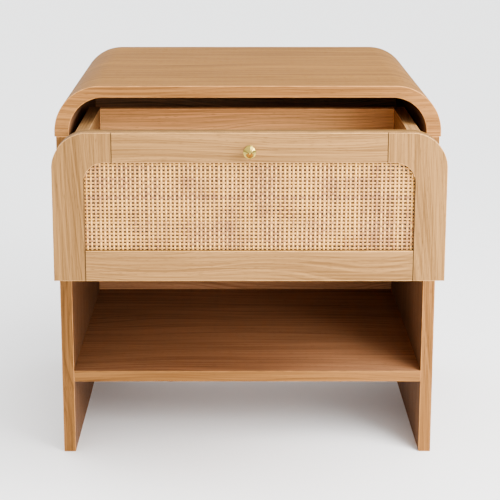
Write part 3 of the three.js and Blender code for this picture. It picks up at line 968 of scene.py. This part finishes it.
class NIGHTSTAND_OT_cane(bpy.types.Operator):
    """Weave the cane sheet in the drawer front"""

    bl_idname = "nightstand.cane"
    bl_label = "Cane Sheet"

    def execute(self, context):
        cane_settings = settings().cane
        low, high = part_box("cane_panel")
        obj = place("cane_weave", bpy.data.meshes.new("cane_weave"), [])
        run_modifier(obj, weave_tree(), {
            "Half Width": high.x, "Foot": low.z, "Top": high.z, "Corner": OPENING_RADIUS,
            "Depth": (low.y + high.y) / 2, "Pitch Across": cane_settings.pitch_across,
            "Pitch Up": cane_settings.pitch_up, "Width": cane_settings.width,
            "Thickness": cane_settings.thickness, "Seed": cane_settings.seed,
            "Odd Row": float(cane_settings.odd_row),
            "Upright Finish": finish_of("cane_upright"), "Cross Finish": finish_of("cane_cross"),
        })
        if len(obj.data.polygons) < 1000:
            raise RuntimeError("the weave came out empty")
        adopt(obj, "drawer", "cane", "cane_panel")
        return {"FINISHED"}


# ---------------------------------------------------------------- knob

class NIGHTSTAND_OT_knob(bpy.types.Operator):
    """Turn the brass knob"""

    bl_idname = "nightstand.knob"
    bl_label = "Knob"

    def execute(self, context):
        low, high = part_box("drawer_knob")
        radius = (high.x - low.x) / 2
        reach = high.y - low.y
        rim = reach * 0.63
        bore, bore_depth = 2.3 * MM, 11 * MM
        shape = [
            (bore_depth, 0.0), (bore_depth, bore), (0.0, bore), (0.0, radius * 0.76),
            (0.25 * MM, radius * 0.80), (1.0 * MM, radius * 0.80), (1.3 * MM, radius * 0.77),
            (1.8 * MM, radius * 0.62), (2.6 * MM, radius * 0.52), (3.8 * MM, radius * 0.46),
            (5.2 * MM, radius * 0.45), (6.8 * MM, radius * 0.47), (8.4 * MM, radius * 0.53),
            (10.0 * MM, radius * 0.64), (11.4 * MM, radius * 0.77), (12.6 * MM, radius * 0.89),
            (rim - 1.0 * MM, radius * 0.96), (rim - 0.3 * MM, radius * 0.99),
            (rim + 0.2 * MM, radius), (rim + 0.7 * MM, radius * 0.985),
            (rim + 1.1 * MM, radius * 0.94), (rim + 1.5 * MM, radius * 0.87),
            (rim + 3.6 * MM, radius * 0.60), (rim + 5.4 * MM, radius * 0.36),
            (rim + 7.3 * MM, radius * 0.14), (reach - 0.4 * MM, radius * 0.085),
            (reach, 0.0),
        ]
        bm = turned(shape, (0.0, high.y, (low.z + high.z) / 2), (0, -1, 0), steps=64)
        obj = place("drawer_knob_brass", to_mesh(bm, "drawer_knob_brass", 24.0), ["brass"])
        adopt(obj, "drawer", "brass", "drawer_knob")
        return {"FINISHED"}


# ---------------------------------------------------------------- slides

SLIDE_METAL = 1.2 * MM
BEND_RADIUS = 2.6 * MM
LIP = 0.6 * MM
SLOT_LENGTH = 22 * MM
SLOT_HEIGHT = 6 * MM
SCREW_HOLE = 3.9 * MM
BALL_RADIUS = 1.1 * MM
BALL_PITCH = 3.4 * MM
BALL_ROW = 60 * MM
BALL_ROW_INSET = 12 * MM
# From the middle of the cabinet to each line of balls.
BALL_LINE = 224.2 * MM
MEMBERS = (
    # node, body, which side of the member its web is on, slots as shares of its length
    ("slide_cabinet_member", "carcass", 1, ()),
    ("slide_middle_member", "slide_middle", 1, (-0.36, 0.0, 0.36)),
    ("slide_drawer_member", "drawer", -1, (-0.24, -0.05, 0.22)),
)


def rounded_corner(corner, inward, radius, start, steps=5):
    """A quarter bend: corner is the sharp corner, inward points to the bend's centre."""
    centre = (corner[0] + inward[0] * radius, corner[1] + inward[1] * radius)
    return arc(centre, radius, start, start + 90, steps)


def channel_outline(low, high):
    """A rolled channel's section with its web at the greater x: bent corners, curled lips."""
    metal, lip, outer = SLIDE_METAL, LIP, BEND_RADIUS
    inner = outer - metal
    mouth, web = low.x, high.x
    top, foot = high.z, low.z
    return [
        (mouth, foot), *rounded_corner((web, foot), (-1, 1), outer, 270),
        *rounded_corner((web, top), (-1, -1), outer, 0), (mouth, top),
        (mouth, top - metal - lip), (mouth + lip, top - metal - lip),
        (mouth + 2 * lip, top - metal),
        *rounded_corner((web - metal, top - metal), (-1, -1), inner, 0)[::-1],
        *rounded_corner((web - metal, foot + metal), (-1, 1), inner, 270)[::-1],
        (mouth + 2 * lip, foot + metal), (mouth + lip, foot + metal + lip),
        (mouth, foot + metal + lip),
    ]


def slot_cutter(centre, length, height):
    """A long hole's cutter, through a web that faces along x."""
    radius, reach_past = height / 2, 6 * MM
    ends = [(length / 2 - radius, -90), (radius - length / 2, 90)]
    outline = [point for reach, start in ends
               for point in arc((centre.y + reach, centre.z), radius, start, start + 180, 8)]
    bm = prism(outline, -reach_past, reach_past)
    for vert in bm.verts:
        along, depth, up = vert.co
        vert.co = (centre.x + depth, along, up)
    bmesh.ops.recalc_face_normals(bm, faces=bm.faces)
    return to_mesh(bm, "slot")


def slide_member(stem, side_name, side, body, web_side, slots):
    """One rolled member with its long slots and its screw holes."""
    node = f"{stem}_{side_name}"
    low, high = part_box(node)
    middle = (low + high) / 2
    outline = channel_outline(low, high)
    if side * web_side < 0:
        outline = [(2 * middle.x - x, z) for x, z in outline][::-1]
    bm = prism(outline, low.y, high.y)
    obj = place(f"{node}_rolled", to_mesh(bm, node, 35.0), ["steel"])
    web = Vector((high.x if side * web_side > 0 else low.x, middle.y, middle.z))
    holes = []
    for slot in slots:
        spot = web + Vector((0, slot * (high.y - low.y), 0))
        holes.append(slot_cutter(spot, SLOT_LENGTH, SLOT_HEIGHT))
    if body != "slide_middle":
        for end in ENDS:
            screw_low, screw_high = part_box(f"{stem.replace('member', 'screw')}_{side_name}_{end}")
            spot = (screw_low + screw_high) / 2
            holes.append(slot_cutter(Vector((web.x, spot.y, spot.z)), SCREW_HOLE, SCREW_HOLE))
    carve(obj, holes)
    name = f"slide_middle_{side_name}" if body == "slide_middle" else body
    adopt(obj, name, "steel", node)


def ball_tree():
    """A bearing ball at every point."""
    tree, sheet = new_modifier_tree("slide_balls", {
        "Ball Radius": ("Float", 0.001), "Finish": ("Material", None),
    })
    ball = tree.node("GeometryNodeMeshIcoSphere", None, sheet["Ball Radius"], 2)["Mesh"]
    spots = tree.node("GeometryNodeMeshToPoints", None, sheet["Geometry"])
    balls = tree.node("GeometryNodeInstanceOnPoints", None, spots, Instance=ball)
    solid = tree.node("GeometryNodeRealizeInstances", None, balls)
    smooth = tree.node("GeometryNodeSetShadeSmooth", None, solid)
    done = tree.node("GeometryNodeSetMaterial", None, smooth, Material=sheet["Finish"])
    tree.node("NodeGroupOutput", None, done)
    return tree


class NIGHTSTAND_OT_slides(bpy.types.Operator):
    """Roll the slide members and lay in their balls"""

    bl_idname = "nightstand.slides"
    bl_label = "Drawer Slides"

    def execute(self, context):
        for side_name, side in SIDES:
            for stem, body, web_side, slots in MEMBERS:
                slide_member(stem, side_name, side, body, web_side, slots)
            self.balls(side_name, side)
        return {"FINISHED"}

    def balls(self, side_name, side):
        """Four rows: two between the outer and middle members, two inside the middle one."""
        low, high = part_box(f"slide_middle_member_{side_name}")
        outer_low, outer_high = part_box(f"slide_cabinet_member_{side_name}")
        inner_low, inner_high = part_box(f"slide_drawer_member_{side_name}")
        middle = (low.z + high.z) / 2
        half = (high.z - low.z) / 2
        outer_gap = (half + (outer_high.z - outer_low.z) / 2 - SLIDE_METAL) / 2
        inner_gap = (half - SLIDE_METAL + (inner_high.z - inner_low.z) / 2) / 2
        rows = [
            (outer_gap, max(low.y, outer_low.y) + BALL_ROW_INSET),
            (inner_gap, max(low.y, inner_low.y) + BALL_ROW_INSET),
        ]
        x = side * BALL_LINE
        spots = []
        for gap, start in rows:
            for up in (1, -1):
                spots += [(x, start + i * BALL_PITCH, middle + up * gap)
                          for i in range(int(BALL_ROW / BALL_PITCH))]
        mesh = bpy.data.meshes.new("slide_balls")
        mesh.from_pydata(spots, [], [])
        obj = place(f"slide_balls_{side_name}", mesh, [])
        run_modifier(obj, ball_tree(), {"Ball Radius": BALL_RADIUS, "Finish": finish_of("steel")})
        adopt(obj, f"slide_middle_{side_name}", "steel")


# ---------------------------------------------------------------- screws

def screw_tree():
    """A pan head with a cross recess and a shank, at every point, turned to face outwards."""
    tree, sheet = new_modifier_tree("screws", {"Finish": ("Material", None)})
    blank = tree.node("GeometryNodeMeshCone", None, **{
        "Vertices": 20, "Radius Top": 0.74, "Radius Bottom": 1.0, "Depth": 1.0,
    })["Mesh"]
    bars = [
        tree.node("GeometryNodeMeshCube", None, tree.vector(*bar_size))["Mesh"]
        for bar_size in ((1.0, 0.24, 0.9), (0.24, 1.0, 0.9))
    ]
    recess = tree.node("GeometryNodeMeshBoolean", {"operation": "UNION", "solver": "EXACT"})
    cut = tree.node("GeometryNodeMeshBoolean", {"operation": "DIFFERENCE", "solver": "EXACT"},
                    blank)
    for bar in bars:
        raised = tree.node("GeometryNodeTransform", None, bar, Translation=(0.0, 0.0, 1.0))
        tree.tree.links.new(raised.socket, recess.socket.node.inputs["Mesh 2"])
    tree.tree.links.new(recess["Mesh"].socket, cut.socket.node.inputs["Mesh 2"])
    shank = tree.node("GeometryNodeMeshCylinder", None, Vertices=12, Radius=1.0, Depth=1.0)["Mesh"]
    shank = tree.node("GeometryNodeTransform", None, shank, Translation=(0.0, 0.0, -0.5))
    spots = tree.node("GeometryNodeMeshToPoints", None, sheet["Geometry"])
    vectors = {
        name: tree.node("GeometryNodeInputNamedAttribute", {"data_type": "FLOAT_VECTOR"}, name)
        for name in ("facing", "head", "shank")
    }
    turn = tree.node("FunctionNodeAlignRotationToVector", {"axis": "Z"},
                     Vector=vectors["facing"]["Attribute"])
    screws = tree.join(*(
        tree.node("GeometryNodeInstanceOnPoints", None, spots, Instance=part, Rotation=turn,
                  Scale=vectors[scale]["Attribute"])
        for part, scale in ((cut["Mesh"], "head"), (shank, "shank"))
    ))
    solid = tree.node("GeometryNodeRealizeInstances", None, screws)
    done = tree.node("GeometryNodeSetMaterial", None, solid, Material=sheet["Finish"])
    tree.node("NodeGroupOutput", None, done)
    return tree


def screws_of(body):
    """(node, facing, head height, shank radius) of each screw in a body, in millimetres."""
    if body == "carcass":
        found = [(f"back_screw_{name}", (0, 1, 0), 2.0, 1.75)
                 for name in ("left", "centre", "right")]
        stem, outward = "slide_cabinet_screw", -1
    else:
        found = [(f"front_screw_{name}", (0, 1, 0), 2.5, 2.0) for name, _ in SIDES]
        stem, outward = "slide_drawer_screw", 1
    for name, side in SIDES:
        for end in ENDS:
            found.append((f"{stem}_{name}_{end}", (side * outward, 0, 0), 1.6, 1.75))
    return found


class NIGHTSTAND_OT_screws(bpy.types.Operator):
    """Drive the screws that can be seen"""

    bl_idname = "nightstand.screws"
    bl_label = "Screws"

    def execute(self, context):
        for body in ("carcass", "drawer"):
            self.drive(body)
        return {"FINISHED"}

    def drive(self, body):
        """Puts a screw at each point of a mesh that holds its direction and its sizes."""
        spots, columns = [], {"facing": [], "head": [], "shank": []}
        found = screws_of(body)
        for node, facing, head_height, shank_radius in found:
            low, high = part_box(node)
            axis = X if facing[X] else Y
            width = (high.z - low.z) / 2
            seat = (low + high) / 2
            tip = high[axis] if facing[axis] > 0 else low[axis]
            seat[axis] = tip - facing[axis] * head_height * MM
            spots.append(seat)
            length = high[axis] - low[axis] - head_height * MM
            columns["facing"].append(facing)
            columns["head"].append((width, width, head_height * MM))
            columns["shank"].append((shank_radius * MM, shank_radius * MM, length))
        mesh = bpy.data.meshes.new(f"{body}_screws")
        mesh.from_pydata([tuple(spot) for spot in spots], [], [])
        for name, rows in columns.items():
            layer = mesh.attributes.new(name, "FLOAT_VECTOR", "POINT")
            layer.data.foreach_set("vector", np.ravel(rows).astype(float))
        obj = place(f"{body}_screws", mesh, [])
        run_modifier(obj, screw_tree(), {"Finish": finish_of("zinc")})
        if len(obj.data.polygons) < 100:
            raise RuntimeError(f"the screws of {body} came out empty")
        adopt(obj, body, "zinc", *[row[0] for row in found])


# ---------------------------------------------------------------- parts that keep their shape

class NIGHTSTAND_OT_plain_parts(bpy.types.Operator):
    """Finish the cams, bolts, dowels, tongues and knob screw, which keep their CAD shape"""

    bl_idname = "nightstand.plain_parts"
    bl_label = "Plain Parts"

    def execute(self, context):
        for obj in bpy.data.objects:
            if obj.type != "MESH" or obj.hide_render:
                continue
            for held in obj.material_slots:
                if held.material and held.material.name in ("zinc", "beech"):
                    held.material = finish_of(held.material.name)
        return {"FINISHED"}


# ---------------------------------------------------------------- stage

FLOOR_REACH = 60.0
CAMERA_ASIDE = -17.4 * MM
CAMERA_DOWN = 12.69
CAMERA_TURN = -0.08
CAMERA_SHIFT = (0.0273, -0.12)


class NIGHTSTAND_OT_stage(bpy.types.Operator):
    """Lay the floor and place the lights and the camera"""

    bl_idname = "nightstand.stage"
    bl_label = "Stage"

    def execute(self, context):
        look = settings().stage
        self.lay_floor(tuple(look.floor))
        self.distant("key_light", look.key, azimuth=42.0, elevation=56.0, spread=34.0)
        self.distant("fill_light", look.fill, azimuth=24.0, elevation=20.0, spread=44.0)
        self.distant("back_light", look.back, azimuth=-140.0, elevation=32.0, spread=50.0)
        self.softbox("side_light", look.side, (1.0, -0.9, 1.0), (0.0, -0.1, 0.35), 0.9)
        self.sky(look.sky)
        self.camera(look)
        return {"FINISHED"}

    def lay_floor(self, shade):
        s = Shader("studio_floor")
        x, y, _ = s.parts(s.node("ShaderNodeTexCoord")["Object"])
        cloud = s.noise(s.vector(x * 1.2, y * 1.2), detail=1.0)
        tone = s.mix(cloud * 0.1, shade, tuple(part * 0.96 for part in shade))
        s.finish(**{"Base Color": tone, "Roughness": 0.9, "Specular IOR Level": 0.1})
        mesh = bpy.data.meshes.new("studio_floor")
        corners = [(x * FLOOR_REACH, y * FLOOR_REACH, 0)
                   for x, y in ((-1, -1), (1, -1), (1, 1), (-1, 1))]
        mesh.from_pydata(corners, [], [(0, 1, 2, 3)])
        mesh.materials.append(s.material)
        floor = bpy.data.objects.new("studio_floor", mesh)
        bpy.context.scene.collection.objects.link(floor)

    def distant(self, name, strength, azimuth, elevation, spread):
        """A soft distant light: azimuth is to the right of the front, elevation above the floor."""
        lamp = bpy.data.lights.new(name, "SUN")
        lamp.energy = strength
        lamp.angle = math.radians(spread)
        a, e = math.radians(azimuth), math.radians(elevation)
        source = Vector((math.sin(a) * math.cos(e), -math.cos(a) * math.cos(e), math.sin(e)))
        obj = bpy.data.objects.new(name, lamp)
        obj.rotation_euler = source.to_track_quat("Z", "Y").to_euler()
        obj.location = source * 3
        bpy.context.scene.collection.objects.link(obj)

    def softbox(self, name, watts, spot, aim, width):
        """A square soft light at a spot, turned towards an aim."""
        lamp = bpy.data.lights.new(name, "AREA")
        lamp.energy = watts
        lamp.size = width
        obj = bpy.data.objects.new(name, lamp)
        obj.location = spot
        towards = Vector(spot) - Vector(aim)
        obj.rotation_euler = towards.to_track_quat("Z", "Y").to_euler()
        bpy.context.scene.collection.objects.link(obj)

    def sky(self, strength):
        world = bpy.data.worlds.new("studio_sky")
        world.use_nodes = True
        tree = Tree(world.node_tree)
        across, _, up = tree.parts(tree.node("ShaderNodeTexCoord")["Generated"])
        level = up.between(-0.1, 0.9) * 0.5 + 0.95
        wings = abs(across).between(0.72, 0.9) * (1.0 - up.between(0.1, 0.6))
        sky = tree.node("ShaderNodeBackground", None, (0.97, 0.985, 1.0, 1.0),
                        level * (1.0 - wings * 0.3) * strength)
        tree.node("ShaderNodeOutputWorld", None, sky)
        bpy.context.scene.world = world

    def camera(self, look):
        data = bpy.data.cameras.new("camera")
        data.lens = look.lens
        data.sensor_width = 36.0
        data.shift_x, data.shift_y = CAMERA_SHIFT
        data.clip_end = 200.0
        camera = bpy.data.objects.new("camera", data)
        camera.location = (CAMERA_ASIDE, CASE_FRONT - look.distance, look.height)
        turn = (90.0 - CAMERA_DOWN, 0.0, CAMERA_TURN)
        camera.rotation_euler = [math.radians(angle) for angle in turn]
        bpy.context.scene.collection.objects.link(camera)
        bpy.context.scene.camera = camera


# ---------------------------------------------------------------- sidebar

class NightstandSettings(bpy.types.PropertyGroup):
    """All that the sidebar shows."""

    wood: PointerProperty(type=NightstandWood)
    cane: PointerProperty(type=NightstandCane)
    metal: PointerProperty(type=NightstandMetal)
    stage: PointerProperty(type=NightstandStage)


STEPS = (
    NIGHTSTAND_OT_stage, NIGHTSTAND_OT_bent_shell, NIGHTSTAND_OT_case_boards,
    NIGHTSTAND_OT_drawer_box, NIGHTSTAND_OT_drawer_front, NIGHTSTAND_OT_cane,
    NIGHTSTAND_OT_knob, NIGHTSTAND_OT_slides, NIGHTSTAND_OT_screws, NIGHTSTAND_OT_plain_parts,
)


class NIGHTSTAND_PT_sidebar(bpy.types.Panel):
    """Lists the settings and the steps"""

    bl_label = "Nightstand"
    bl_idname = "NIGHTSTAND_PT_sidebar"
    bl_space_type = "VIEW_3D"
    bl_region_type = "UI"
    bl_category = "Nightstand"

    def draw(self, context):
        layout = self.layout
        for group in (settings().wood, settings().cane, settings().metal, settings().stage):
            box = layout.box()
            for key in group.__annotations__:
                box.prop(group, key)
        for step in STEPS:
            layout.operator(step.bl_idname)


CLASSES = (
    NightstandWood, NightstandCane, NightstandMetal, NightstandStage, NightstandSettings,
    *STEPS, NIGHTSTAND_PT_sidebar,
)


def register():
    for cls in CLASSES:
        bpy.utils.register_class(cls)
    bpy.types.Scene.nightstand = PointerProperty(type=NightstandSettings)


def unregister():
    del bpy.types.Scene.nightstand
    for cls in reversed(CLASSES):
        bpy.utils.unregister_class(cls)


def main():
    register()
    for step in STEPS:
        group, name = step.bl_idname.split(".")
        getattr(getattr(bpy.ops, group), name)()


if __name__ == "__main__":
    main()
